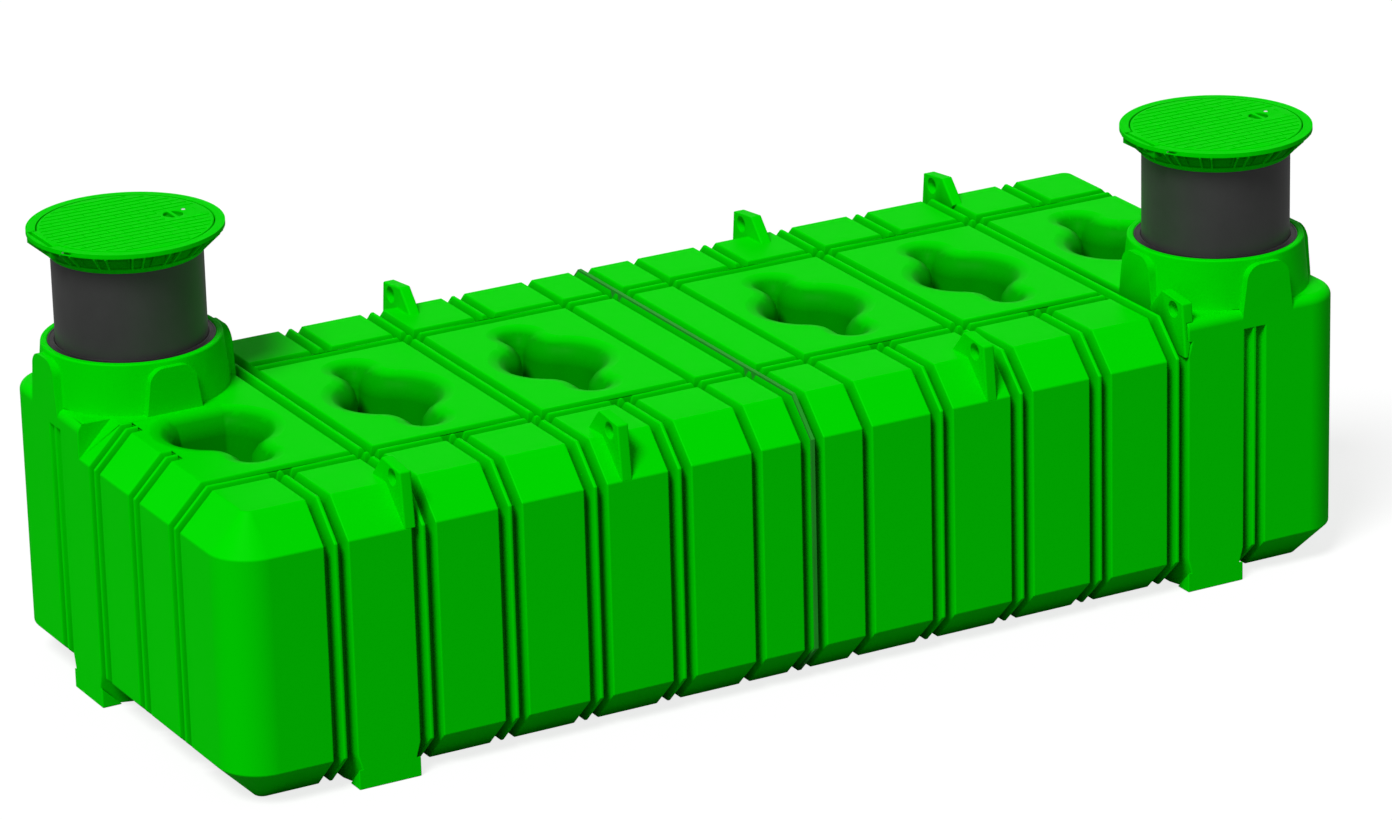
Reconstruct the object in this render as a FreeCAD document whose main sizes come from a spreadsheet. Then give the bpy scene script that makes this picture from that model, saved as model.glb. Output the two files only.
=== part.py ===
import FreeCAD, Part, Sketcher
import math
import os
import re

os.makedirs("parts", exist_ok=True)
doc = FreeCAD.newDocument("water_tank")
V = FreeCAD.Vector
ACROSS, ALONG, UP = V(1, 0, 0), V(0, 1, 0), V(0, 0, 1)
CENTRE = V(0, 0, 0)
FLAT = FreeCAD.Rotation()
FRONT_ON = FreeCAD.Rotation(ACROSS, 90)
SIDE_ON = FreeCAD.Rotation(V(1, 1, 1), 120)
LYING_ALONG = FreeCAD.Rotation(ACROSS, -90)
LYING_ACROSS = FreeCAD.Rotation(ALONG, 90)

RIB_COUNT = 5
WEB_COUNT = 24
FUNNEL_STEPS = 4

# The driving sizes, in millimetres. X runs along the tank, Y from front to back, Z up from the floor.
# The tank is two equal mouldings, the right one turned half a turn about Z from the left one.
# A text is a size that follows from others.
SIZES = {
    "half_length": 2625, "half_width": 1075, "tank_height": 1215,
    "edge_chamfer": 150, "corner_radius": 185, "wall": 12, "deck_margin": 30, "cap_depth": 90,
    "groove_depth": 44, "groove_mouth": 47, "groove_floor": 12, "rib_crest": 14,
    "groove_span": "rib_crest / 2 + groove_mouth",
    "column_gap": 216, "column_clear": 13, "first_rib": 615,
    "rib_pitch": "(half_length - edge_chamfer - deck_margin - column_clear + column_gap / 2 - first_rib) / %d"
                 % RIB_COUNT,
    "rib_reach": "(rib_crest + groove_mouth) / 2",
    "deck_groove": 260, "long_rib": 577.5, "end_rib": 192.5, "end_run_in": 50,
    "seam_width": 16, "seam_proud": 4,
    "block_edge": 340, "block_round": 40, "blind_drop": 82,
    "neck_inset": 405, "neck_rise": 215, "neck_base": 397, "neck_head": 376, "neck_bore": 347,
    "neck_clear": 16, "neck_near": "half_width - 2 * neck_inset - neck_clear",
    "gusset_foot": 252, "gusset_head": 190, "gusset_round": 70, "gusset_rise": 195,
    "gasket_length": 60, "gasket_drop": 4,
    "riser_radius": 315, "riser_wall": 15, "riser_rise": 586, "riser_depth": 90,
    "frame_rise": 696, "rim_radius": 408, "rim_thickness": 18, "frame_wall": 8, "web_thickness": 6,
    "frame_seat": 0.3, "ledge_bore": 335,
    "lid_radius": 362, "lid_gap": 6, "lid_thickness": 30, "lid_rest": 0.3,
    "tab_half": 107, "tab_reach": 370, "hinge_place": 360, "hinge_drop": 9, "hinge_gap": 7,
    "pin_radius": 5, "pin_play": 0.6, "pin_sink": 8, "pin_pocket": 20, "pocket_lip": 3,
    "boss_wall": 9,
    "grip_radius": 42, "grip_bar": 16, "grip_depth": 14, "grip_place": 215,
    "column_radius": "rib_pitch - column_gap / 2", "lobe_radius": 128, "lobe_place": 338,
    "waist_radius": 70, "funnel_radius": 100,
    "lug_thickness": 52, "lug_outer": 60, "lug_inner": 242, "lug_foot": 275, "lug_crown": 185,
    "lug_rise": 97, "lug_edge_rise": 80, "lug_edge": 25, "lug_root": 1,
    "lug_bore": 35, "lug_bore_inset": 94, "lug_bore_rise": 39,
}

sheet = doc.addObject("Spreadsheet::Sheet", "sizes")
for row, (alias, value) in enumerate(SIZES.items(), start=1):
    sheet.set("A%d" % row, alias)
    sheet.set("B%d" % row, ("=" if isinstance(value, str) else "") + str(value))
    sheet.setAlias("B%d" % row, alias)
doc.recompute()


def size(alias):
    """A size as the sheet holds it."""
    return float(sheet.get(alias))


def formula(text):
    """An expression of the sheet's sizes, from one written with their plain names."""
    def in_sheet(word):
        return word.group() if word.group() == "sqrt" else "sizes." + word.group()

    return re.sub("[a-z_]+", in_sheet, text)


def bind(obj, **values):
    """Ties properties of an object to expressions of the sizes."""
    for prop, text in values.items():
        obj.setExpression(prop, formula(text))
    return obj


def place(obj, turn, *low):
    """Turns an object and ties its place to expressions of the sizes."""
    obj.Placement = FreeCAD.Placement(CENTRE, turn)
    for axis, text in zip("xyz", low):
        obj.setExpression("Placement.Base." + axis, formula(text))
    return obj


def box(label, x, y, z):
    """A block between a low and a high expression on each axis."""
    obj = doc.addObject("Part::Box", label)
    for prop, (low, high) in zip(("Length", "Width", "Height"), (x, y, z)):
        bind(obj, **{prop: "(%s) - (%s)" % (high, low)})
    return place(obj, FLAT, x[0], y[0], z[0])


def rod(label, radius, centre, low, high, turn=FLAT):
    """A cylinder between two levels, or between two ends along Y or X where it is turned."""
    obj = bind(doc.addObject("Part::Cylinder", label), Radius=radius, Height="(%s) - (%s)" % (high, low))
    if turn is LYING_ALONG:
        return place(obj, turn, centre[0], low, centre[1])
    if turn is LYING_ACROSS:
        return place(obj, turn, low, *centre)
    return place(obj, turn, *centre, low)


def cone(label, low_radius, high_radius, centre, low, high):
    """A cone between two levels."""
    obj = doc.addObject("Part::Cone", label)
    bind(obj, Radius1=low_radius, Radius2=high_radius, Height="(%s) - (%s)" % (high, low))
    return place(obj, FLAT, *centre, low)


def sketch(label, points, turn=FLAT, low=("0", "0", "0")):
    """A closed outline whose corners are tied to pairs of expressions."""
    obj = doc.addObject("Sketcher::SketchObject", label)
    turns = [2 * math.pi * n / len(points) for n in range(len(points))]
    ring = [V(math.cos(a), math.sin(a), 0) * size("wall") for a in turns]
    for n in range(len(points)):
        obj.addGeometry(Part.LineSegment(ring[n], ring[(n + 1) % len(ring)]))
    for n in range(len(points)):
        obj.addConstraint(Sketcher.Constraint("Coincident", n, 2, (n + 1) % len(ring), 1))
    for n, point in enumerate(points):
        for kind, text, start in zip(("DistanceX", "DistanceY"), point, ring[n]):
            row = obj.addConstraint(Sketcher.Constraint(kind, -1, 1, n, 1, start))
            obj.setExpression("Constraints[%d]" % row, formula(text))
    return place(obj, turn, *low)


def plate(label, outline, direction, thickness):
    """An outline drawn out along an axis."""
    obj = doc.addObject("Part::Extrusion", label)
    obj.Base, obj.DirMode, obj.Dir, obj.Solid = outline, "Custom", direction, True
    return bind(obj, LengthFwd=thickness)


def feature(label, shape):
    """A document object for a shape that Part's own functions made."""
    obj = doc.addObject("Part::Feature", label)
    obj.Shape = shape
    return obj


def fuse(label, *parts):
    obj = doc.addObject("Part::MultiFuse", label)
    obj.Shapes = list(parts)
    return obj


def cut(label, base, tool):
    obj = doc.addObject("Part::Cut", label)
    obj.Base, obj.Tool = base, tool
    return obj


def common(label, base, tool):
    obj = doc.addObject("Part::Common", label)
    obj.Base, obj.Tool = base, tool
    return obj


def face(points):
    """A flat face with straight sides."""
    return Part.Face(Part.makePolygon(points + points[:1]))


# Bodies: an outline padded, with some of its edges rounded or cut at 45 degrees.

def padded(label, outline, length):
    """A body with one pad."""
    body = doc.addObject("PartDesign::Body", label)
    body.addObject(outline)
    pad = doc.addObject("PartDesign::Pad", label + "_pad")
    body.addObject(pad)
    pad.Profile = outline
    bind(pad, Length=length)
    doc.recompute()
    return body


def dressed(body, kind, prop, text, chosen):
    """A fillet or a chamfer on the edges of a body that a test picks."""
    last = body.Tip
    obj = doc.addObject("PartDesign::" + kind, body.Name + "_" + kind.lower())
    body.addObject(obj)
    obj.Base = (last, ["Edge%d" % n for n, edge in enumerate(last.Shape.Edges, start=1) if chosen(edge)])
    bind(obj, **{prop: text})
    doc.recompute()
    return body


def upright(edge):
    return abs(edge.tangentAt(edge.FirstParameter).z) > 0.5


def rounded_form(label, skin):
    """The moulding's main form: a box with round corners, cut at 45 degrees round its top and its bottom."""
    x, y = "(half_length - %s)" % skin, "(half_width - %s)" % skin
    corners = [("-" + x, "-" + y), (x, "-" + y), (x, y), ("-" + x, y)]
    body = padded(label, sketch(label + "_plan", corners, low=("0", "0", skin)), "tank_height - 2 * " + skin)
    dressed(body, "Fillet", "Radius", "corner_radius - " + skin, upright)
    return dressed(body, "Chamfer", "Size", "edge_chamfer - %s * (2 - sqrt(2))" % skin,
                   lambda edge: not upright(edge))


def corner_block(label, skin):
    """The unchamfered corner that carries the neck."""
    x, y = ("-(half_length - %s)" % skin, "-(%s) - %s" % (BLOCK_REACH, skin)), ("block_edge + " + skin,
                                                                               "half_width - " + skin)
    low = "tank_height - edge_chamfer - corner_radius"
    corners = [(x[0], y[0]), (x[1], y[0]), (x[1], y[1]), (x[0], y[1])]
    body = padded(label, sketch(label + "_plan", corners, low=("0", "0", low)),
                  "edge_chamfer + corner_radius - " + skin)
    bounds = body.Shape.BoundBox

    def at_corner(edge):
        return upright(edge) and edge.BoundBox.XMax < bounds.XMin + 1 and edge.BoundBox.YMin > bounds.YMax - 1

    def at_rim(edge):
        box = edge.BoundBox
        return box.ZMin > bounds.ZMax - 1 and box.XMin < bounds.XMax - 1 and box.YMax > bounds.YMin + 1

    dressed(body, "Fillet", "Radius", "corner_radius - " + skin, at_corner)
    rim = doc.addObject("PartDesign::Fillet", label + "_rim")
    last = body.Tip
    body.addObject(rim)
    rim.Base = (last, ["Edge%d" % n for n, edge in enumerate(last.Shape.Edges, start=1) if at_rim(edge)])
    bind(rim, Radius="block_round - " + skin)
    doc.recompute()
    return body


BLOCK_REACH = "first_rib + %d * rib_pitch + groove_span" % (RIB_COUNT - 2)
LAST_RIB = "first_rib + %d * rib_pitch" % (RIB_COUNT - 1)


def feet(label, skin):
    """The three feet of a moulding, where the wall goes straight down past the chamfer."""
    x = ("-(%s) + groove_span + %s" % (LAST_RIB, skin), "-(%s) - %s" % (BLOCK_REACH, skin))
    y = ("end_rib + groove_span + " + skin, "long_rib - groove_span - " + skin)
    z = (skin, "edge_chamfer + " + skin)
    reach = "(edge_chamfer + 2 * %s)" % skin
    return [box(label + "_front_foot", x, (skin + " - half_width", reach + " - half_width"), z),
            box(label + "_back_foot", x, ("half_width - " + reach, "half_width - " + skin), z),
            box(label + "_end_foot", (skin + " - half_length", reach + " - half_length"), y, z)]


# Grooves: a trapezoid profile run along a path on the surface.

def run(path, normal, side, mouth, floor, depth):
    """A groove's cutter: normal points out of the surface at the path's start, side across the groove."""
    over = size("groove_depth")
    wide = mouth + (mouth - floor) / depth * over
    profile = Part.makePolygon([
        path[0] + side * wide + normal * over, path[0] - side * wide + normal * over,
        path[0] - side * floor - normal * depth, path[0] + side * floor - normal * depth,
        path[0] + side * wide + normal * over])
    return Part.makePolygon(path).makePipeShell([profile], True, False, 1)


def swept(path, side, skin, double=True, normal=UP):
    """The cutters along a path, or one ridge a wall thicker round them."""
    mouth, floor, depth = size("groove_mouth") / 2, size("groove_floor") / 2, size("groove_depth")
    spread = size("rib_reach") if double else 0
    if skin:
        return [run(path, normal, side, mouth + spread + skin, floor + spread + skin / 2, depth + skin)]
    return [run([point + side * offset for point in path], normal, side, mouth, floor, depth)
            for offset in ((-spread, spread) if double else (0,))]


def loop_path(x, start_y, end_y, sign):
    """The way down one side from the deck, round both chamfers, to the underside."""
    width, height, bevel = size("half_width"), size("tank_height"), size("edge_chamfer")
    return [V(x, sign * start_y, height), V(x, sign * (width - bevel), height),
            V(x, sign * width, height - bevel), V(x, sign * width, bevel),
            V(x, sign * (width - bevel), 0), V(x, sign * end_y, 0)]


def end_path(y, start_x, end_x):
    """The way along the deck, down the end and back along the underside."""
    length, height, bevel = size("half_length"), size("tank_height"), size("edge_chamfer")
    return [V(-start_x, y, height), V(bevel - length, y, height),
            V(-length, y, height - bevel), V(-length, y, bevel),
            V(bevel - length, y, 0), V(-end_x, y, 0)]


def grooves(skin):
    """All grooves of the left moulding as cutters, or as ridges for the cavity."""
    length, width, height = size("half_length"), size("half_width"), size("tank_height")
    blind, long_rib = height - size("blind_drop"), size("long_rib")
    ribs = [size("first_rib") + n * size("rib_pitch") for n in range(RIB_COUNT)]
    rings = [(size("rib_reach"), False), (size("deck_groove"), False), (ribs[1], True), (ribs[3], True)]
    solids = []
    for sign in (-1, 1):
        for x, double in rings:
            solids += swept(loop_path(-x, 0, 0, sign), ACROSS, skin, double)
        for x in ribs[0:5:2] if sign < 0 else ribs[0:3:2]:
            solids += swept(loop_path(-x, long_rib, long_rib, sign), ACROSS, skin)
    back = loop_path(-ribs[4], 0, long_rib, 1)
    solids += swept([V(-ribs[4], width, blind)] + back[3:], ACROSS, skin, normal=ALONG)
    solids += swept(end_path(-long_rib, 0, 0), ALONG, skin)
    start = length - size("edge_chamfer") - size("end_run_in")
    for y in (-size("end_rib"), size("end_rib")):
        solids += swept(end_path(y, start, start), ALONG, skin)
    end = end_path(long_rib, 0, 0)
    solids += swept([V(-length, long_rib, blind)] + end[3:], ALONG, skin, normal=-ACROSS)
    deck_end = ribs[3] - size("groove_span")
    solids += swept([V(0, long_rib, height), V(-deck_end, long_rib, height)], ALONG, skin)
    return solids


def moulding(label, skin):
    """The solid whose surface is the moulding's outside, or its cavity where skin is the wall."""
    blank = fuse(label + "_blank", rounded_form(label + "_form", skin), corner_block(label + "_block", skin),
                 *feet(label, skin))
    doc.recompute()
    return feature(label, blank.Shape.cut(grooves(size(skin) if skin == "wall" else 0)))


# The shell and its pieces. Each piece of the left moulding is the shell within a region of its own.

outer = moulding("outer", "0")
cavity = moulding("cavity", "wall")
shell = cut("shell", outer, cavity)

TO_CAP = "(half_length - edge_chamfer - deck_margin)"
CAP_Y = "(half_width - edge_chamfer - deck_margin)"
NECK_FAR = "half_length - 2 * neck_inset - neck_clear"
AT_SEAM = "-seam_width / 2"
END, FRONT, BACK = "-half_length - wall", "-half_width - wall", "half_width + wall"
ALL_HIGH = ("-wall", "tank_height + wall")
DECK_HIGH, FLOOR_HIGH = ("tank_height - cap_depth", "tank_height + wall"), ("-wall", "cap_depth")


def column_outline(inset, x, level, short=False):
    """A column's outline: a round middle between two lobes. A short one has a flat towards the neck."""
    middle, lobe = size("column_radius") - inset, size("lobe_radius") - inset
    waist, reach = size("waist_radius") + inset, size("lobe_place")
    to_middle, to_lobe = middle + waist, lobe + waist
    waist_y = (to_middle ** 2 - to_lobe ** 2 + reach ** 2) / (2 * reach)
    hollow = V(math.sqrt(to_middle ** 2 - waist_y ** 2), waist_y, 0)
    on_middle = hollow * (middle / to_middle)
    on_lobe = V(0, reach, 0) + (hollow - V(0, reach, 0)) * (lobe / to_lobe)
    on_waist = hollow + (on_middle + on_lobe - hollow * 2).normalize() * waist
    flat = size("neck_near") - inset

    def arc(*points):
        placed = [V(x_sign * point.x, y_sign * point.y, 0) for point, x_sign, y_sign in points]
        return Part.Arc(*placed).toShape()

    edges = []
    crown, side = V(0, reach + lobe, 0), V(middle, 0, 0)
    for sign in (-1,) if short else (-1, 1):
        edges += [arc((on_middle, turn, sign), (on_waist, turn, sign), (on_lobe, turn, sign))
                  for turn in (-1, 1)]
        edges.append(arc((on_lobe, 1, sign), (crown, 1, sign), (on_lobe, -1, sign)))
    if not short:
        edges += [arc((on_middle, turn, -1), (side, turn, 1), (on_middle, turn, 1)) for turn in (-1, 1)]
    elif flat > middle:
        edges.append(arc((on_middle, 1, -1), (V(0, middle, 0), 1, 1), (on_middle, -1, -1)))
    else:
        corner = V(math.sqrt(middle ** 2 - flat ** 2), flat, 0)
        edges += [arc((on_middle, turn, -1), (V(middle, 0, 0), turn, 1), (corner, turn, 1))
                  for turn in (-1, 1)]
        edges.append(Part.makeLine(corner, V(-corner.x, flat, 0)))
    wire = Part.Wire(Part.__sortEdges__(edges))
    wire.translate(V(x, 0, level))
    return wire


def funnel(x, skin, short):
    """The hole of a column where skin is 0, or the solid a wall thicker round it."""
    radius, top = size("funnel_radius") - skin, size("tank_height") - skin
    steps = [math.radians(90.0 * n / FUNNEL_STEPS) for n in range(FUNNEL_STEPS + 1)]
    upper = [(radius * math.sin(a), top - radius * (1 - math.cos(a))) for a in steps]
    lower = [(inset, size("tank_height") - level) for inset, level in reversed(upper)]
    outlines = [column_outline(inset, x, level, short) for inset, level in upper + lower]
    return Part.makeLoft(outlines, True, True)


def column(label, x, short):
    """A hollow column through the tank, with a funnel at each end."""
    skin, height = size("wall"), size("tank_height")
    plan = Part.Face(column_outline(0, x, 0, short))
    upper = plan.extrude(UP * skin)
    upper.translate(UP * (height - skin))
    solid = funnel(x, skin, short).fuse([plan.extrude(UP * skin), upper]).cut(funnel(x, 0, short))
    return feature(label, solid.common(plan.extrude(UP * height)))


COLUMN_X = [-size("first_rib") - 2 * n * size("rib_pitch") for n in range(3)]
plans = [Part.Face(column_outline(0, x, 0, x == COLUMN_X[-1])) for x in COLUMN_X]
rims = feature("column_rims", Part.makeCompound([plan.extrude(UP * size("tank_height")) for plan in plans]))
neck_room = box("neck_room", (END, "-(%s)" % NECK_FAR), ("neck_near", BACK), DECK_HIGH)
cap_room = box("cap_room", ("-" + TO_CAP, "0"), ("-" + CAP_Y, CAP_Y), ALL_HIGH)
SPLIT, CORNER_X = ("-(%s)" % LAST_RIB, AT_SEAM), (END, "-(%s)" % LAST_RIB)


def region(name, x, y, z, away=None):
    """A piece of the shell: what of it lies in a block, less what another piece takes there."""
    block = box(name + "_region", x, y, z)
    if away is None:
        return common(name, shell, block)
    return cut(name, common(name + "_skin", shell, block), away)


pieces = {
    "left_deck": region("left_deck", ("-" + TO_CAP, AT_SEAM), ("-" + CAP_Y, CAP_Y), DECK_HIGH,
                        fuse("deck_holes", rims, neck_room)),
    "left_floor": region("left_floor", ("-" + TO_CAP, AT_SEAM), ("-" + CAP_Y, CAP_Y), FLOOR_HIGH, rims),
    "left_front_wall": region("left_front_wall", SPLIT, (FRONT, "-" + CAP_Y), ALL_HIGH),
    "left_back_wall": region("left_back_wall", SPLIT, (CAP_Y, BACK), ALL_HIGH, neck_room),
    "left_end_wall": region("left_end_wall", (END, "-" + TO_CAP), ("-long_rib", "long_rib"), ALL_HIGH,
                            neck_room),
    "left_front_corner": region("left_front_corner", CORNER_X, (FRONT, "-long_rib"),
                                ALL_HIGH, cap_room),
    "left_back_corner": region("left_back_corner", CORNER_X, ("long_rib", BACK), ALL_HIGH,
                               fuse("back_corner_holes", cap_room, neck_room)),
}
for n, x in enumerate(COLUMN_X, start=1):
    pieces["left_column_%d" % n] = column("left_column_%d" % n, x, x == COLUMN_X[-1])

# The neck: a slightly conical collar on the corner block, with a gusset on each of its four sides.

NECK = ("(neck_inset - half_length)", "(half_width - neck_inset)")
NECK_TOP = "(tank_height + neck_rise)"
collar = cone("neck_collar", "neck_base", "neck_head", NECK, "tank_height", NECK_TOP)
neck_bore = rod("neck_hole", "neck_bore", NECK, "tank_height - cap_depth - wall", NECK_TOP)


def gusset(angle):
    """A flat buttress with a round head, its face as far from the neck's axis as the tank's walls are."""
    foot, head = "gusset_foot / 2", "gusset_head / 2"
    low = "-block_round - wall"
    outline = sketch("gusset_%d_face" % angle,
                     [("-" + foot, low), (foot, low), (foot, "0"), (head, "gusset_rise"),
                      ("-" + head, "gusset_rise"), ("-" + foot, "0")], FRONT_ON)
    body = padded("gusset_%d" % angle, outline, "neck_inset")
    top = body.Shape.BoundBox.ZMax
    dressed(body, "Fillet", "Radius", "gusset_round",
            lambda edge: abs(edge.tangentAt(edge.FirstParameter).y) > 0.5 and edge.BoundBox.ZMin > top - 1)
    return place(body, FreeCAD.Rotation(UP, angle), *NECK, "tank_height")


upstand = fuse("neck_upstand", collar, *[gusset(angle) for angle in (0, 90, 180, 270)])
neck = fuse("neck_whole", common("neck_skin", shell, neck_room), cut("neck_above", upstand, outer))
pieces["left_neck"] = cut("left_neck", neck, neck_bore)

# The shaft: a gasket in the neck, the riser pipe, the lid's frame, the lid and its hinge pin.

TOP = "(tank_height + frame_rise)"
RISER_TOP = "(tank_height + riser_rise)"
LEDGE = "(%s - lid_thickness - lid_rest)" % TOP
UNDER = "(%s - frame_wall)" % LEDGE
RIM_LOW = "(%s - rim_thickness)" % TOP
SEAT, CUP = "(lid_radius + lid_gap)", "(lid_radius + lid_gap + frame_wall)"
PIN_END = "(sqrt(rim_radius ^ 2 - hinge_place ^ 2) - pin_sink)"
SWING = "(sqrt((tab_reach - hinge_place) ^ 2 + (lid_thickness - hinge_drop) ^ 2) + lid_gap)"
TAB_ROOM = "(tab_half + lid_gap)"


def pipe(label, radius, bore, centre, low, high):
    """A plain pipe about an upright axis."""
    return cut(label, rod(label + "_outside", radius, centre, low, high),
               rod(label + "_bore", bore, centre, low, high))


def webs(label, x, y):
    """The thin ribs between the flare of a lid's frame and the underside of its rim."""
    half, seat, rim = size("web_thickness") / 2, size("lid_radius") + size("lid_gap"), size("rim_radius")
    cup = seat + size("frame_wall")
    top = size("tank_height") + size("frame_rise")
    rim_low = top - size("rim_thickness")
    under = top - size("lid_thickness") - size("lid_rest") - size("frame_wall")
    riser, riser_top = size("riser_radius"), size("tank_height") + size("riser_rise")
    web = face([V(cup - half, -half, rim_low), V(rim - half, -half, rim_low),
                V(rim - half, -half, rim_low - half), V(riser, -half, riser_top + half),
                V(riser - half, -half, riser_top + half), V(seat, -half, under)]).extrude(ALONG * 2 * half)
    solids = []
    for n in range(WEB_COUNT):
        copy = web.copy()
        copy.rotate(CENTRE, UP, 360.0 * (n + 0.5) / WEB_COUNT)
        copy.translate(V(x, y, 0))
        solids.append(copy)
    return feature(label, Part.makeCompound(solids))


def shaft(side, turn):
    """The pieces of one shaft. Both lids have their hinge on the left, so the shafts aren't turned."""
    x, y = ("%d * %s" % (turn, text) for text in NECK)
    at = (x, y)

    def about(offset, low_y, high_y):
        return ((x + " - (%s)" % offset[0], x + " - (%s)" % offset[1]), (y + low_y, y + high_y))

    def name(word):
        return side + "_" + word

    gasket_top = NECK_TOP + " - gasket_drop"
    gasket = pipe(name("gasket"), "neck_bore", "riser_radius", at, gasket_top + " - gasket_length", gasket_top)
    riser = pipe(name("riser_pipe"), "riser_radius", "riser_radius - riser_wall", at,
                 NECK_TOP + " - riser_depth", RISER_TOP)
    hinge = (x + " - hinge_place", TOP + " - hinge_drop")
    flare_skin = "(riser_wall - frame_seat)"
    solid = fuse(name("frame_solid"),
                 rod(name("rim"), "rim_radius", at, RIM_LOW, TOP),
                 rod(name("cup"), CUP, at, UNDER, RIM_LOW),
                 cone(name("flare"), "riser_radius", CUP, at, RISER_TOP, UNDER),
                 box(name("hinge_boss"), *about(("tab_reach + hinge_gap + boss_wall", "ledge_bore"),
                                                " - %s - boss_wall" % TAB_ROOM, " + %s + boss_wall" % TAB_ROOM),
                     (TOP + " - hinge_drop - %s - boss_wall" % SWING, RIM_LOW)),
                 webs(name("webs"), turn * (size("neck_inset") - size("half_length")),
                      turn * (size("half_width") - size("neck_inset"))))
    pocket_z = (RIM_LOW + " + pocket_lip", TOP + " - pocket_lip")
    hollow = fuse(name("frame_hollow"),
                  cone(name("flare_bore"), "riser_radius - " + flare_skin, CUP + " - " + flare_skin, at,
                       RISER_TOP, UNDER),
                  rod(name("ledge_hole"), "ledge_bore", at, UNDER, TOP),
                  rod(name("seat"), SEAT, at, LEDGE, TOP),
                  box(name("tab_room"), *about(("tab_reach + hinge_gap", "ledge_bore"), " - " + TAB_ROOM,
                                               " + " + TAB_ROOM), (LEDGE, TOP)),
                  rod(name("swing_room"), SWING, hinge, "%s - %s" % (y, TAB_ROOM), "%s + %s" % (y, TAB_ROOM),
                      LYING_ALONG),
                  rod(name("pin_hole"), "pin_radius", hinge, "%s - %s" % (y, PIN_END), "%s + %s" % (y, PIN_END),
                      LYING_ALONG),
                  box(name("near_pocket"), *about(("hinge_place + pin_pocket", "hinge_place - pin_pocket"),
                                                  " - rim_radius", " - " + PIN_END), pocket_z),
                  box(name("far_pocket"), *about(("hinge_place + pin_pocket", "hinge_place - pin_pocket"),
                                                 " + " + PIN_END, " + rim_radius"), pocket_z))
    frame = cut(name("lid_frame"), solid, hollow)
    low = TOP + " - lid_thickness"
    tab = box(name("lid_tab"), *about(("tab_reach", "ledge_bore"), " - tab_half", " + tab_half"), (low, TOP))
    blank = fuse(name("lid_solid"), rod(name("lid_disc"), "lid_radius", at, low, TOP), tab)
    grip_z = (TOP + " - grip_depth", TOP)
    grips = cut(name("grips"), rod(name("grip_round"), "grip_radius", (x + " + grip_place", y), *grip_z),
                box(name("grip_bar"), *about(("-grip_place + grip_bar / 2", "-grip_place - grip_bar / 2"),
                                             " - grip_radius", " + grip_radius"), grip_z))
    eye = rod(name("lid_eye"), "pin_radius + pin_play", hinge, y + " - lid_radius", y + " + lid_radius",
              LYING_ALONG)
    lid = cut(name("lid"), blank, fuse(name("lid_hollow"), grips, eye))
    pin = rod(name("hinge_pin"), "pin_radius", hinge, "%s - %s" % (y, PIN_END), "%s + %s" % (y, PIN_END),
              LYING_ALONG)
    return {name("gasket"): gasket, name("riser_pipe"): riser, name("lid_frame"): frame, name("lid"): lid,
            name("hinge_pin"): pin}


pieces.update(shaft("left", 1))
pieces.update(shaft("right", -1))

# The lifting lugs: upright plates that stand on the deck's edge and run out on the side walls.


def lug(label, x, sign):
    """A lug at the front where sign is -1, or at the back where it is 1."""
    def y(text):
        return "%d * (half_width - %s)" % (sign, text)

    outline = sketch(label + "_side", [
        (y("lug_foot"), "-lug_root"), (y("lug_crown"), "lug_rise"), (y("lug_edge"), "lug_edge_rise"),
        (y("0"), "-edge_chamfer"), (y("edge_chamfer"), "-edge_chamfer")], SIDE_ON,
        (x + " - lug_thickness / 2", "0", "tank_height"))
    eye = rod(label + "_eye", "lug_bore", (y("lug_bore_inset"), "tank_height + lug_bore_rise"),
              x + " - lug_thickness", x + " + lug_thickness", LYING_ACROSS)
    solid = plate(label + "_plate", outline, ACROSS, "lug_thickness")
    standing = cut(label + "_standing", solid, fuse(label + "_away", outer, collar))
    return cut(label, standing, eye)


for row, x in (("outer", "-(first_rib + 3 * rib_pitch + lug_outer)"), ("inner", "-(first_rib + lug_inner)")):
    for side, sign in (("front", -1), ("back", 1)):
        label = "left_%s_%s_lug" % (row, side)
        pieces[label] = lug(label, x, sign)

# The right moulding, turned half a turn, and the seam between the two.


def twin_name(name):
    """The right moulding's name for a piece: half a turn puts its front at the back."""
    words = {"left": "right", "front": "back", "back": "front"}
    return "_".join(words.get(word, word) for word in name.split("_"))


doc.recompute()
for name in list(pieces):
    if twin_name(name) not in pieces:
        twin = feature(twin_name(name), pieces[name].Shape)
        twin.Placement = FreeCAD.Placement(CENTRE, FreeCAD.Rotation(UP, 180)) * pieces[name].Placement
        pieces[twin_name(name)] = twin


def seam_section(label, grow):
    """The tank's cross-section at the seam, grown outwards."""
    y, top = "(half_width + %s)" % grow, "tank_height + " + grow
    turn_in = "%s * (sqrt(2) - 1)" % grow
    run_in, low = "(half_width - edge_chamfer + %s)" % turn_in, "edge_chamfer - " + turn_in
    high = "tank_height - edge_chamfer + " + turn_in
    outline = sketch(label + "_section", [
        ("-" + y, low), ("-" + run_in, "-" + grow), (run_in, "-" + grow), (y, low), (y, high), (run_in, top),
        ("-" + run_in, top), ("-" + y, high)], SIDE_ON, (AT_SEAM, "0", "0"))
    return plate(label, outline, ACROSS, "seam_width")


band = cut("seam_ring", seam_section("seam_outside", "seam_proud"),
           seam_section("seam_inside", "(-groove_depth - wall)"))
bed = box("seam_bed", ("-seam_width", "seam_width"), (FRONT, BACK), ("-wall", "0"))
pieces["seam_band"] = cut("seam_band", band, bed)

doc.recompute()
for name, obj in pieces.items():
    shape = obj.Shape
    if "Invalid" in obj.State or "Error" in obj.State or not shape.isValid() or not shape.Solids:
        raise SystemExit("%s failed: %s %s" % (name, obj.State, shape.isValid()))
    shape.exportStep("parts/%s.step" % name)
    print(name, len(shape.Solids), round(shape.Volume / 1e6, 2))
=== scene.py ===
import bpy
import bmesh
import math
from mathutils import Matrix, Vector


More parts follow.
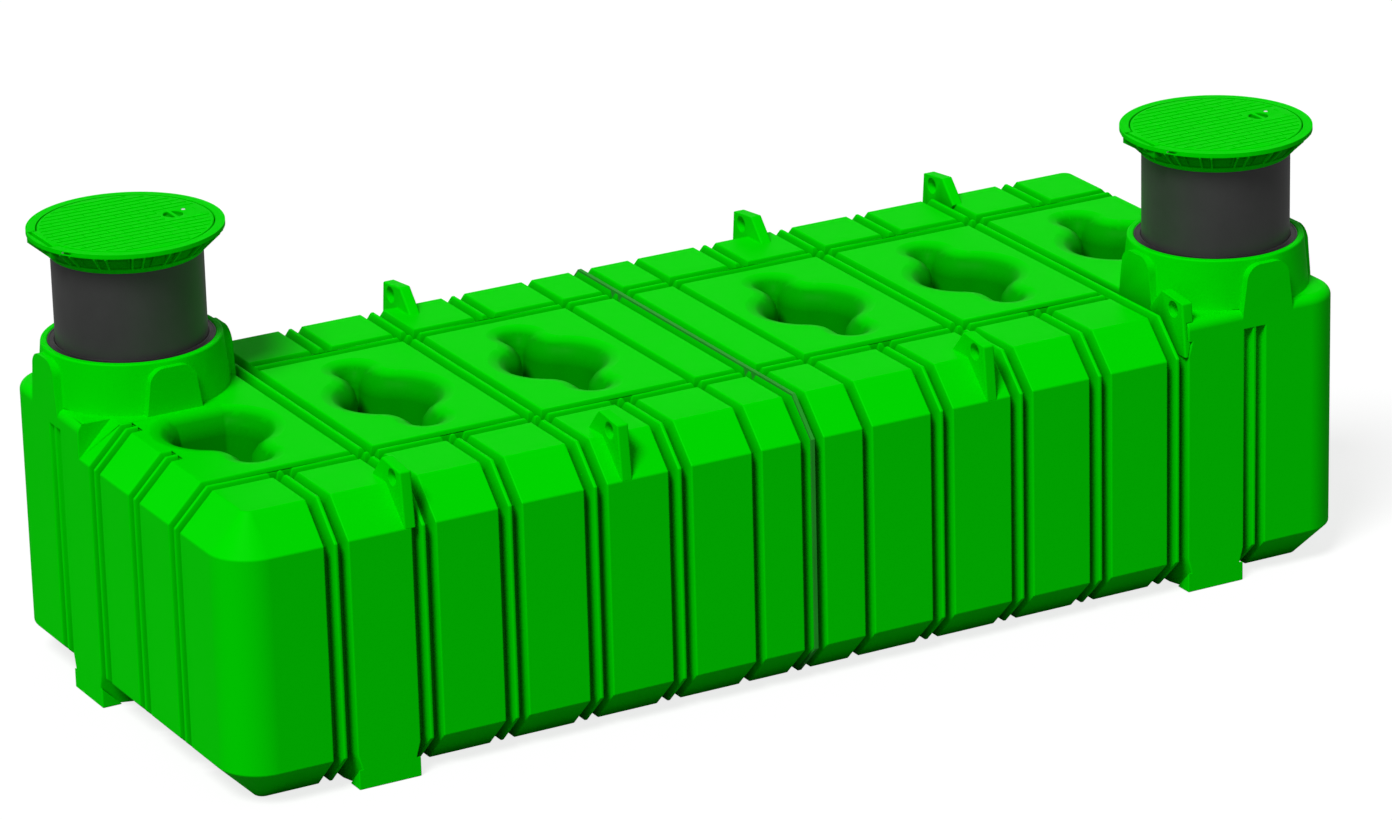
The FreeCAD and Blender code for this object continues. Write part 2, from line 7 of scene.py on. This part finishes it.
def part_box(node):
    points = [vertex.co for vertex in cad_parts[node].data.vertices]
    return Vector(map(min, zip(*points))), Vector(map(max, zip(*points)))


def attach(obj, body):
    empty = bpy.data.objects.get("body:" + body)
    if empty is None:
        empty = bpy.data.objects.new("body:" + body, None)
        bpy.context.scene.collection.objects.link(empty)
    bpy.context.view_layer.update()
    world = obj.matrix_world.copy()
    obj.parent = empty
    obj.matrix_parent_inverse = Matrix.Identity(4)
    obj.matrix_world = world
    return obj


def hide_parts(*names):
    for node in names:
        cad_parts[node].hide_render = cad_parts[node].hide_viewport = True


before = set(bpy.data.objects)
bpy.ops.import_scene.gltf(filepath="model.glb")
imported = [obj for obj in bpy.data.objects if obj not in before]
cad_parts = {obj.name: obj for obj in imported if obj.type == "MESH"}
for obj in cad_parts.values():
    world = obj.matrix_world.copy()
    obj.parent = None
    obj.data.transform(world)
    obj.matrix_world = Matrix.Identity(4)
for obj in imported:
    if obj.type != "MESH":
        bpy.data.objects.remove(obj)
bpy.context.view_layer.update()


# The two halves of the tank, which meet at the seam. Each is one rotomoulded shell of matt green
# polyethylene: deck, walls, columns, neck and lugs are a single skin, with no joint in it. The mould rounds
# its outside edges. Where the skin lies deep, as in the grooves and the columns, its green is darkened as
# painted shade.

HALF_LENGTH, HALF_WIDTH, DECK = 2.625, 1.075, 1.215


class Socket:
    """A value in a material's nodes, on which plain arithmetic adds Math nodes."""

    def __init__(self, nodes, value):
        self.nodes, self.value = nodes, value

    def join(self, operation, other, flipped=False):
        values = (other, self) if flipped else (self, other)
        sockets = {0: values[0], 1: values[1]}
        return self.nodes.add("ShaderNodeMath", {"operation": operation}, sockets)[0]

    def __add__(self, other):
        return self.join("ADD", other)

    def __radd__(self, other):
        return self.join("ADD", other, True)

    def __sub__(self, other):
        return self.join("SUBTRACT", other)

    def __rsub__(self, other):
        return self.join("SUBTRACT", other, True)

    def __mul__(self, other):
        return self.join("MULTIPLY", other)

    def __rmul__(self, other):
        return self.join("MULTIPLY", other, True)

    def __pow__(self, other):
        return self.join("POWER", other)

    def __lt__(self, other):
        return self.join("LESS_THAN", other)

    def __gt__(self, other):
        return self.join("GREATER_THAN", other)


class Finish:
    """The nodes of a material or of a world."""

    def __init__(self, name, kind="materials"):
        self.owner = getattr(bpy.data, kind).new(name)
        self.owner.use_nodes = True
        self.tree = self.owner.node_tree
        self.tree.nodes.clear()

    def add(self, kind, settings, sockets):
        """Adds a node and gives its outputs."""
        node = self.tree.nodes.new(kind)
        for key, value in settings.items():
            setattr(node, key, value)
        for key, value in sockets.items():
            if isinstance(value, Socket):
                self.tree.links.new(value.value, node.inputs[key])
            else:
                node.inputs[key].default_value = value
        return [Socket(self, output) for output in node.outputs]

    def place(self):
        """Object coordinates."""
        return self.add("ShaderNodeTexCoord", {}, {})[3]

    def noise(self, place, scale, detail=2.0, rough=0.5):
        sockets = {"Vector": place, "Scale": scale, "Detail": detail, "Roughness": rough}
        return self.add("ShaderNodeTexNoise", {}, sockets)[0]

    def mix(self, factor, low, high):
        """A colour between two."""
        return self.add("ShaderNodeMix", {"data_type": "RGBA"}, {0: factor, 6: low, 7: high})[2]

    def bump(self, height, distance, strength):
        sockets = {"Height": height, "Distance": distance, "Strength": strength}
        return self.add("ShaderNodeBump", {}, sockets)[0]

    def done(self, **sockets):
        """The shader and the output."""
        named = {key.replace("_", " "): value for key, value in sockets.items()}
        shader = self.add("ShaderNodeBsdfPrincipled", {}, named)[0]
        self.add("ShaderNodeOutputMaterial", {}, {"Surface": shader})
        return self.owner


def moulded_green():
    """Matt green, darkened as painted shade where the skin lies deep."""
    finish = Finish("moulded_green")
    place = finish.place()
    cloud = finish.noise(place, 1.6, 3.0)
    grain = finish.noise(place, 420.0, 1.0)
    skin = finish.noise(place, 14.0)
    # A mesh attribute, set from how deep each point lies, darkens the green towards a dark green here:
    # painted shade.
    painted_shade = finish.add("ShaderNodeAttribute", {"attribute_name": "painted_shade"}, {})[2]
    plain = finish.mix(cloud, (0.0, 0.59, 0.0, 1), (0.0, 0.61, 0.0, 1))
    return finish.done(Base_Color=finish.mix(painted_shade, plain, (0.0, 0.29, 0.0, 1)),
                       Roughness=0.42 + 0.10 * skin,
                       Normal=finish.bump(grain * 0.35 + skin * 0.65, 0.0012, 0.22),
                       Specular_IOR_Level=0.008)


GREEN = moulded_green()


def pick(objects):
    """Selects only these objects, the first as the active one."""
    bpy.ops.object.select_all(action="DESELECT")
    for obj in objects:
        obj.hide_set(False)
        obj.select_set(True)
    bpy.context.view_layer.objects.active = objects[0]


def modify(piece, name, kind, **settings):
    """Adds a modifier with its settings and applies it."""
    modifier = piece.modifiers.new(name, kind)
    for key, value in settings.items():
        setattr(modifier, key, value)
    pick([piece])
    bpy.ops.object.modifier_apply(modifier=name)


def smooth(piece, degrees):
    """Shades a piece smooth, apart from edges sharper than an angle."""
    pick([piece])
    bpy.ops.object.shade_smooth_by_angle(angle=math.radians(degrees))


def joined_copy(name, nodes):
    """One mesh from copies of CAD nodes, with their loose triangles merged."""
    copies = []
    for node in nodes:
        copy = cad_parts[node].copy()
        copy.data = copy.data.copy()
        bpy.context.scene.collection.objects.link(copy)
        copies.append(copy)
    pick(copies)
    bpy.ops.object.join()
    whole = bpy.context.view_layer.objects.active
    whole.name = whole.data.name = name
    bpy.ops.object.mode_set(mode="EDIT")
    bpy.ops.mesh.select_all(action="SELECT")
    bpy.ops.mesh.customdata_custom_splitnormals_clear()
    bpy.ops.mesh.remove_doubles(threshold=0.0001)
    bpy.ops.object.mode_set(mode="OBJECT")
    return whole


SKIN = ["deck", "floor", "front_wall", "back_wall", "end_wall", "front_corner", "back_corner",
        "column_1", "column_2", "column_3", "neck"]
LUGS = ["outer_front_lug", "outer_back_lug", "inner_front_lug", "inner_back_lug"]
CORNER, CHAMFER, WALL, DEEP = 0.185, 0.150, 0.012, 0.090
CAP_X, CAP_Y, NECK_X, NECK_Y = 2.445, 0.895, 1.799, 0.249
LAST_RIB, LONG_RIB, RIB_REACH = 2.155, 0.5775, 0.06
# The last of these is the depth below the outside at which the painted shade is darkest.
TINY, PROUD, OUTSIDE, SHADE_DEPTH = 0.0002, 0.002, 0.003, 0.022
FLAT, SHARP, SHORT_EDGE, LONG_EDGE = math.radians(0.5), math.radians(22), 0.004, 0.008
WIDEST, STEPS = 0.010, 3
WIDE, MIDDLING, NARROW = 0.8, 0.5, 0.25


def is_cut(face):
    """Whether a face is one of those where the solids of the left half meet inside its skin."""
    xs, ys, zs = zip(*(vertex.co for vertex in face.verts))
    across, along, level = (abs(part) > 0.999 for part in face.normal)

    def at(values, place):
        return max(abs(value - place) for value in values) < TINY

    by_neck = min(ys) > NECK_Y - TINY and max(xs) < TINY - NECK_X
    past_ribs = max(xs) < TINY - CAP_X
    if across and (at(xs, -CAP_X) or at(xs, -LAST_RIB) or at(xs, -NECK_X) and by_neck):
        return True
    if along and (at(ys, -CAP_Y) or at(ys, CAP_Y) or at(ys, NECK_Y) and by_neck):
        return True
    if along and past_ribs and (at(ys, -LONG_RIB) or at(ys, LONG_RIB)):
        return True
    if level and by_neck and at(zs, DECK - DEEP):
        return True
    in_wall = DECK - WALL - TINY < min(zs) and max(zs) < DECK + TINY or max(zs) < WALL + TINY
    return abs(face.normal.z) < 0.01 and in_wall and max(map(abs, ys)) < LONG_RIB - RIB_REACH


def depth(point):
    """How far a point lies under the half's plain outside, with its cut edges and round corners."""
    past_x = abs(point.x) - HALF_LENGTH + CORNER
    past_y = abs(point.y) - HALF_WIDTH + CORNER
    round_corner = past_x > 0 and past_y > 0
    side = CORNER - (math.hypot(past_x, past_y) if round_corner else max(past_x, past_y))
    low = min(point.z, DECK - point.z)
    return min(side, low, (side + low - CHAMFER) / math.sqrt(2))


def is_sharp(edge):
    """Whether an edge is an outer one that the mould rounds."""
    return len(edge.link_faces) == 2 and edge.is_convex and edge.calc_face_angle() >= SHARP


def skin_softness(edge):
    """How far an edge of the skin is rounded, as a share of the widest rounding."""
    places = [vertex.co for vertex in edge.verts]
    if not is_sharp(edge) or edge.calc_length() < SHORT_EDGE or max(map(depth, places)) > OUTSIDE:
        return 0.0
    if min(place.z for place in places) > DECK + PROUD:
        by_neck = all(place.x < -NECK_X and place.y > NECK_Y for place in places)
        return WIDE if by_neck and edge.calc_length() > LONG_EDGE else 0.0
    return MIDDLING


def lug_softness(edge):
    """The same for a lug. Its foot stays sharp where it meets the skin."""
    if not is_sharp(edge) or min(depth(vertex.co) for vertex in edge.verts) > -OUTSIDE:
        return 0.0
    return WIDE if edge.calc_length() > LONG_EDGE else NARROW


def soften(piece, turn, softness):
    """Opens a piece's cut edges and rounds its outside ones.

    The turn lays the piece over the left half. It is half a turn or none, so it also lays it back.
    """
    piece.data.transform(turn)
    bm = bmesh.new()
    bm.from_mesh(piece.data)
    bm.normal_update()
    bmesh.ops.delete(bm, geom=[face for face in bm.faces if is_cut(face)], context="FACES")
    bmesh.ops.dissolve_limit(bm, angle_limit=FLAT, verts=bm.verts, edges=bm.edges)
    weight = bm.edges.layers.float.new("bevel_weight_edge")
    for edge in bm.edges:
        edge[weight] = softness(edge)
    bm.to_mesh(piece.data)
    bm.free()
    piece.data.transform(turn)
    modify(piece, "soft_edges", "BEVEL", limit_method="WEIGHT", width=WIDEST, segments=STEPS,
           use_clamp_overlap=False)


for side in ("left", "right"):
    turn = Matrix.Rotation(0 if side == "left" else math.pi, 4, "Z")
    swapped = {"front": "back", "back": "front"} if side == "right" else {}
    skin, lugs = (["_".join([side] + [swapped.get(part, part) for part in word.split("_")])
                   for word in words] for words in (SKIN, LUGS))
    ears = joined_copy(side + "_lugs", lugs)
    shell = joined_copy(side + "_moulding", skin)
    soften(ears, turn, lug_softness)
    soften(shell, turn, skin_softness)
    pick([shell, ears])
    bpy.ops.object.join()
    # Each point's depth under the half's plain outside sets how far its green is darkened as painted shade.
    painted_shade = shell.data.attributes.new("painted_shade", "FLOAT", "POINT")
    for vertex, mark in zip(shell.data.vertices, painted_shade.data):
        mark.value = min(max(depth(turn @ vertex.co) / SHADE_DEPTH, 0.0), 1.0)
    smooth(shell, 35)
    modify(shell, "even_normals", "WEIGHTED_NORMAL", keep_sharp=True)
    shell.data.materials.clear()
    shell.data.materials.append(GREEN)
    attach(shell, "tank")
    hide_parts(*skin, *lugs)

# The strip of rubber in the seam. It is pressed between the two halves and stands a little proud all the
# way round. It is greyer than the tank and has a faint sheen.


def satin_strip():
    finish = Finish("seam_strip")
    place = finish.place()
    cloud = finish.noise(place, 6.0, 3.0)
    grain = finish.noise(place, 160.0)
    green = finish.mix(cloud, (0.012, 0.24, 0.014, 1), (0.020, 0.30, 0.024, 1))
    return finish.done(Base_Color=green, Roughness=0.45 + 0.2 * grain,
                       Normal=finish.bump(grain, 0.0006, 0.4), Specular_IOR_Level=0.04)


def dress(node, material):
    """Gives a CAD node its material."""
    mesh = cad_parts[node].data
    mesh.materials.clear()
    mesh.materials.append(material)


dress("seam_band", satin_strip())

# The gaskets. Each is a ring of black rubber, pushed into the neck's bore. Two soft lips on its top press
# on the riser pipe and on the neck.

PIPE, BORE, LIP_ROOT, RING_STEPS = 0.315, 0.347, 0.012, 96
LIPS = [(0.000, -0.006), (0.001, 0.001), (0.006, 0.003), (0.011, -0.001), (0.015, -0.005),
        (0.020, -0.003), (0.026, 0.002), (0.031, 0.001), (0.032, -0.006)]


def soft_rubber():
    finish = Finish("gasket_rubber")
    bloom = finish.noise(finish.place(), 9.0, 4.0, 0.6)
    black = finish.mix(bloom, (0.004, 0.004, 0.004, 1), (0.013, 0.012, 0.013, 1))
    return finish.done(Base_Color=black, Roughness=0.42 + 0.2 * bloom,
                       Normal=finish.bump(bloom, 0.001, 0.3), Specular_IOR_Level=0.15)


def settle(piece, degrees, centre):
    """Turns a closed piece's faces outward, smooths its shading and moves its mesh to its place."""
    pick([piece])
    bpy.ops.object.mode_set(mode="EDIT")
    bpy.ops.mesh.select_all(action="SELECT")
    bpy.ops.mesh.normals_make_consistent(inside=False)
    bpy.ops.object.mode_set(mode="OBJECT")
    smooth(piece, degrees)
    piece.data.transform(Matrix.Translation(centre))


def from_points(name, verts, edges, faces):
    """A new object in the scene, from its points."""
    mesh = bpy.data.meshes.new(name)
    mesh.from_pydata(verts, edges, faces)
    piece = bpy.data.objects.new(name, mesh)
    bpy.context.scene.collection.objects.link(piece)
    return piece


def turned(name, centre, profile):
    """A ring about an upright axis, from a closed profile of radii and levels."""
    ring = from_points(name, [(radius, 0, level) for radius, level in profile],
                       [(n, (n + 1) % len(profile)) for n in range(len(profile))], [])
    modify(ring, "spin", "SCREW", steps=RING_STEPS, render_steps=RING_STEPS,
           use_merge_vertices=True, use_smooth_shade=False)
    settle(ring, 50, centre)
    return ring


def middle(node):
    """The middle of a node's box, seen from above."""
    low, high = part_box(node)
    return (low[0] + high[0]) / 2, (low[1] + high[1]) / 2


RUBBER = soft_rubber()
for side in ("left", "right"):
    dress(side + "_gasket", RUBBER)
    profile = [(PIPE + across, up) for across, up in LIPS] + [(BORE, -LIP_ROOT), (PIPE, -LIP_ROOT)]
    centre = (*middle(side + "_gasket"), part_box(side + "_gasket")[1][2])
    lips = turned(side + "_gasket_lips", centre, profile)
    lips.data.materials.append(RUBBER)
    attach(lips, "tank")

# The riser pipes. Each is a length of extruded black polyethylene pipe that stands in the gasket and
# carries the lid's frame. The extruder leaves fine upright lines on it.


def extruded_black():
    finish = Finish("riser_pipe")
    place = finish.place()
    upright = {"Vector": place, "Scale": (60, 60, 0.6)}
    lines = finish.noise(finish.add("ShaderNodeMapping", {}, upright)[0], 1.0)
    scuff = finish.noise(place, 5.0, 5.0, 0.65)
    black = finish.mix(scuff, (0.018, 0.018, 0.018, 1), (0.029, 0.029, 0.029, 1))
    return finish.done(Base_Color=black, Roughness=0.36 + 0.16 * scuff + 0.06 * lines,
                       Normal=finish.bump(lines, 0.0008, 0.25), Specular_IOR_Level=0.5)


BLACK = extruded_black()
for side in ("left", "right"):
    dress(side + "_riser_pipe", BLACK)

# The lid frames. Each is a moulded green ring whose flare sits on the riser pipe, with a broad rim that the
# lid lies flush in. Pairs of ribs under the rim hold it up, and end on a lip round the foot of the flare.
# Below the rim the green is darkened as painted shade.


def lid_green(name, hollow=None):
    """The lids' green, darkened as painted shade in the hollow that a mask of x, y and z gives."""
    finish = Finish(name)
    place = finish.place()
    cloud = finish.noise(place, 3.0, 3.0)
    grain = finish.noise(place, 900.0, 1.0)
    colour = finish.mix(cloud, (0.0, 0.56, 0.0, 1), (0.0, 0.60, 0.0, 1))
    if hollow:
        mask = hollow(*finish.add("ShaderNodeSeparateXYZ", {}, {0: place}))
        # Inside the mask the green is darkened: painted shade.
        colour = finish.mix(mask, colour, (0.0, 0.36, 0.0, 1))
    return finish.done(Base_Color=colour, Roughness=0.5 + 0.1 * grain,
                       Normal=finish.bump(grain, 0.0004, 0.35), Specular_IOR_Level=0.010)


LID_TOP, RIM_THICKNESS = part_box("left_lid_frame")[1][2], 0.018
LID_GREEN = lid_green("lid_green")
# Painted shade: below the rim's underside the frame's green is darkened.
FRAME_GREEN = lid_green("frame_green", lambda x, y, z: z < LID_TOP - RIM_THICKNESS - TINY)
FLARE_TOP, FLARE_RISE, LIP, RIM, RIM_LOW = 0.376, 0.0717, 0.024, 0.408, 0.092
RIB_PAIRS, RIB, RIB_SPREAD = 16, 0.008, math.radians(3.4)
SLOPE = (FLARE_TOP - PIPE) / FLARE_RISE
RIB_OUTLINE = [(PIPE + 0.001, 0.003), (PIPE + 0.006, 0.003),
               (RIM - 0.002, RIM_LOW - 0.006), (RIM - 0.002, RIM_LOW - 0.001),
               (FLARE_TOP - 0.002, RIM_LOW - 0.001), (FLARE_TOP - 0.002, FLARE_RISE)]
LIP_PROFILE = [(PIPE - 0.001, 0.0005), (PIPE + 0.005, 0.0005), (PIPE + 0.007, 0.003),
               (PIPE + 0.007 + LIP * SLOPE, LIP), (PIPE + 0.004 + LIP * SLOPE, LIP + 0.003),
               (PIPE + LIP * SLOPE - 0.001, LIP + 0.002)]


def ribs(name, centre):
    """Pairs of upright ribs between the flare and the rim of a frame."""
    verts, faces = [], []
    for pair in range(RIB_PAIRS):
        for lean in (-RIB_SPREAD, RIB_SPREAD):
            around = 2 * math.pi * (pair + 0.25) / RIB_PAIRS + lean
            faces.append(range(len(verts), len(verts) + len(RIB_OUTLINE)))
            verts += [(radius * math.cos(around), radius * math.sin(around), level)
                      for radius, level in RIB_OUTLINE]
    piece = from_points(name, verts, [], faces)
    modify(piece, "thick", "SOLIDIFY", thickness=RIB, offset=0.0)
    modify(piece, "rounded", "BEVEL", limit_method="ANGLE", width=0.0012, segments=2)
    settle(piece, 40, centre)
    return piece


for side in ("left", "right"):
    dress(side + "_lid_frame", FRAME_GREEN)
    centre = (*middle(side + "_lid_frame"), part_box(side + "_lid_frame")[0][2])
    lip = turned(side + "_frame_lip", centre, LIP_PROFILE)
    for piece in (lip, ribs(side + "_frame_ribs", centre)):
        piece.data.materials.append(LID_GREEN)
        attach(piece, "tank")

# The lids. Each is a flat green plate with a tab that turns on the hinge pin. Its top has shallow grooves
# against slipping, broken in the manner of bricks, two finger wells with a bar between them, and a well for
# the lock.

LID_RADIUS, PITCH, GROOVE, GROOVE_DEPTH = 0.350, 0.0400, 0.010, 0.0024
BREAK, BREAKS, BREAK_GAP = 0.106, 3, 0.001
GRIP, WELL_RADIUS, WELL_TOP, WELL_FLOOR = (0.215, 0.0), 0.056, 0.003, 0.015
LOCK, LOCK_RADIUS, LOCK_DEPTH = (0.277, 0.036), 0.012, 0.006


def lid_softness(edge):
    """The softness of a lid's edge: those of its top alone are a little rounded."""
    level = all(vertex.co.z > LID_TOP - TINY for vertex in edge.verts)
    sharp = len(edge.link_faces) == 2 and edge.calc_face_angle() > math.radians(30)
    return NARROW if level and sharp else 0.0


def bar(centre, size):
    """A block as a cutting tool."""
    bpy.ops.object.select_all(action="DESELECT")
    bpy.ops.mesh.primitive_cube_add(size=1.0, location=centre)
    block = bpy.context.object
    block.scale = size
    bpy.ops.object.transform_apply(location=True, rotation=False, scale=True)
    return block


def cylinder(centre, radius, height, vertices):
    """An upright cylinder, at its place."""
    bpy.ops.object.select_all(action="DESELECT")
    bpy.ops.mesh.primitive_cylinder_add(vertices=vertices, radius=radius, depth=height,
                                        location=centre)
    return bpy.context.object


def grooves(centre):
    """One lid's cutters: rows across its hinge, broken by short cross grooves in every other row."""
    x, y, top = centre
    cutters = []
    rows = int(LID_RADIUS / PITCH)
    for row in range(-rows, rows + 1):
        across = row * PITCH
        reach = math.sqrt(LID_RADIUS ** 2 - across ** 2)
        near, far = -reach, reach
        if abs(across - GRIP[1]) < WELL_RADIUS:
            far = GRIP[0] - WELL_RADIUS
        size = (far - near, GROOVE, 2 * GROOVE_DEPTH)
        cutters.append(bar((x + (near + far) / 2, y + across, top), size))
        between = across + PITCH / 2
        outer = max(abs(between - PITCH / 2), abs(between + PITCH / 2))
        inner = math.sqrt(max(LID_RADIUS ** 2 - outer ** 2, 0))
        for step in range(-BREAKS, BREAKS + 1):
            along = (step + 0.5 * (row % 2)) * BREAK
            clear = math.hypot(along - GRIP[0], between - GRIP[1]) > WELL_RADIUS + PITCH / 2
            free = math.hypot(along - LOCK[0], between - LOCK[1]) > PITCH
            if abs(along) < inner - GROOVE and clear and free:
                size = (GROOVE / 2, PITCH - GROOVE - BREAK_GAP, GROOVE_DEPTH)
                cutters.append(bar((x + along, y + between, top), size))
    pick(cutters)
    bpy.ops.object.join()
    return bpy.context.object


def carve(piece, cutter):
    """Takes a cutter out of a piece."""
    modify(piece, "carve", "BOOLEAN", operation="DIFFERENCE", object=cutter, solver="EXACT")
    bpy.data.objects.remove(cutter)


for side in ("left", "right"):
    plate = joined_copy(side + "_lid_plate", [side + "_lid"])
    turn = Matrix.Rotation(0 if side == "left" else math.pi, 4, "Z")
    soften(plate, turn, lid_softness)
    x, y = middle(side + "_lid_frame")
    carve(plate, grooves((x, y, LID_TOP)))
    carve(plate, cylinder((x + LOCK[0], y + LOCK[1], LID_TOP), LOCK_RADIUS, 2 * LOCK_DEPTH, 32))
    smooth(plate, 30)
    well_x, well_y = x + GRIP[0], y + GRIP[1]

    # The finger well's sides and floor, below its mouth, take a darker green as painted shade.
    def in_well(x, y, z):
        within = (x - well_x) ** 2 + (y - well_y) ** 2 < WELL_RADIUS ** 2
        return within * (z < LID_TOP - WELL_TOP) * (z > LID_TOP - WELL_FLOOR)

    plate.data.materials.clear()
    plate.data.materials.append(lid_green(side + "_plate_green", in_well))
    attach(plate, side + "_lid")
    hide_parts(side + "_lid")

# The lid locks. Each is a zinc-plated screw with a six-sided socket. It sits in its own well in the lid,
# beside the finger wells.

HEAD, HEAD_HEIGHT, HEAD_FOOT = 0.0085, 0.005, 0.0055
SOCKET, SOCKET_DEPTH = 0.0045, 0.0025


def plated_steel(name, tone):
    finish = Finish(name)
    patch = finish.noise(finish.place(), 70.0, 3.0)
    bright = tuple(min(1.0, part * 1.25) for part in tone)
    return finish.done(Base_Color=finish.mix(patch, tone + (1,), bright + (1,)), Metallic=1.0,
                       Roughness=0.28 + 0.16 * patch)


ZINC = plated_steel("zinc", (0.56, 0.57, 0.58))
for side in ("left", "right"):
    x, y = middle(side + "_lid_frame")
    place = (x + LOCK[0], y + LOCK[1], LID_TOP - HEAD_FOOT + HEAD_HEIGHT / 2)
    screw = cylinder(place, HEAD, HEAD_HEIGHT, 36)
    screw.name = screw.data.name = side + "_lock_screw"
    bpy.ops.object.transform_apply(location=True, rotation=False, scale=False)
    modify(screw, "rounded", "BEVEL", limit_method="ANGLE", width=0.001, segments=3)
    head_top = (place[0], place[1], place[2] + HEAD_HEIGHT / 2)
    carve(screw, cylinder(head_top, SOCKET, 2 * SOCKET_DEPTH, 6))
    smooth(screw, 30)
    screw.data.materials.append(ZINC)
    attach(screw, side + "_lid")

# The hinge pins. Each is a turned rod of plain steel through the bore in the lid's tab. Both its ends are
# fast in the lid's frame, and the lid turns on it.

TURNED = plated_steel("turned_steel", (0.48, 0.48, 0.48))
for side in ("left", "right"):
    dress(side + "_hinge_pin", TURNED)

# The camera stands where the photographer's did, found from the tank's corners.

camera = bpy.data.objects.new("camera", bpy.data.cameras.new("camera"))
bpy.context.scene.collection.objects.link(camera)
stand = Vector((-12.251, -22.596, 10.349))
azimuth, elevation, roll = math.radians(-28.5627), math.radians(20.2665), math.radians(-1.4625)
back = Vector((math.sin(azimuth) * math.cos(elevation), -math.cos(azimuth) * math.cos(elevation),
               math.sin(elevation)))
level = Vector((0, 0, 1)).cross(back).normalized()
upward = back.cross(level)
right = level * math.cos(roll) + upward * math.sin(roll)
above = upward * math.cos(roll) - level * math.sin(roll)
camera.matrix_world = Matrix(((right.x, above.x, back.x, stand.x), (right.y, above.y, back.y, stand.y),
                              (right.z, above.z, back.z, stand.z), (0, 0, 0, 1)))
camera.data.lens, camera.data.sensor_width = 168.17, 36.0
camera.data.clip_end = 200.0
bpy.context.scene.camera = camera

# A plain white studio: floor, soft key light from above and the left, and a pale surround.

FLOOR_GLOW, SURROUND = 0.80, 0.25

bpy.ops.object.select_all(action="DESELECT")
bpy.ops.mesh.primitive_plane_add(size=160.0, location=(0, 0, 0))
floor = bpy.context.object
floor.name = "floor"
white = Finish("studio_floor")
seen = white.add("ShaderNodeLightPath", {}, {})[0]
diffuse = white.add("ShaderNodeBsdfDiffuse", {}, {"Color": (0.2, 0.2, 0.2, 1)})[0]
light = {"Color": (1, 1, 1, 1), "Strength": seen * FLOOR_GLOW}
glow = white.add("ShaderNodeEmission", {}, light)[0]
both = white.add("ShaderNodeAddShader", {}, {0: diffuse, 1: glow})[0]
white.add("ShaderNodeOutputMaterial", {}, {"Surface": both})
floor.data.materials.append(white.owner)

surround = Finish("studio", "worlds")
bpy.context.scene.world = surround.owner
path = surround.add("ShaderNodeLightPath", {}, {})
bare = surround.add("ShaderNodeMath", {"operation": "MAXIMUM"}, {0: path[0], 1: path[3]})[0]
light = {"Color": (1, 1, 1, 1), "Strength": bare * (1 - SURROUND) + SURROUND}
lamp = surround.add("ShaderNodeBackground", {}, light)[0]
surround.add("ShaderNodeOutputWorld", {}, {"Surface": lamp})

key = bpy.data.objects.new("key", bpy.data.lights.new("key", "SUN"))
bpy.context.scene.collection.objects.link(key)
key.data.energy, key.data.angle = 3.34, math.radians(20)
key.rotation_euler = Vector((-0.525, -0.34, 0.86)).to_track_quat("Z", "Y").to_euler()

bpy.context.scene.view_settings.view_transform = "Standard"
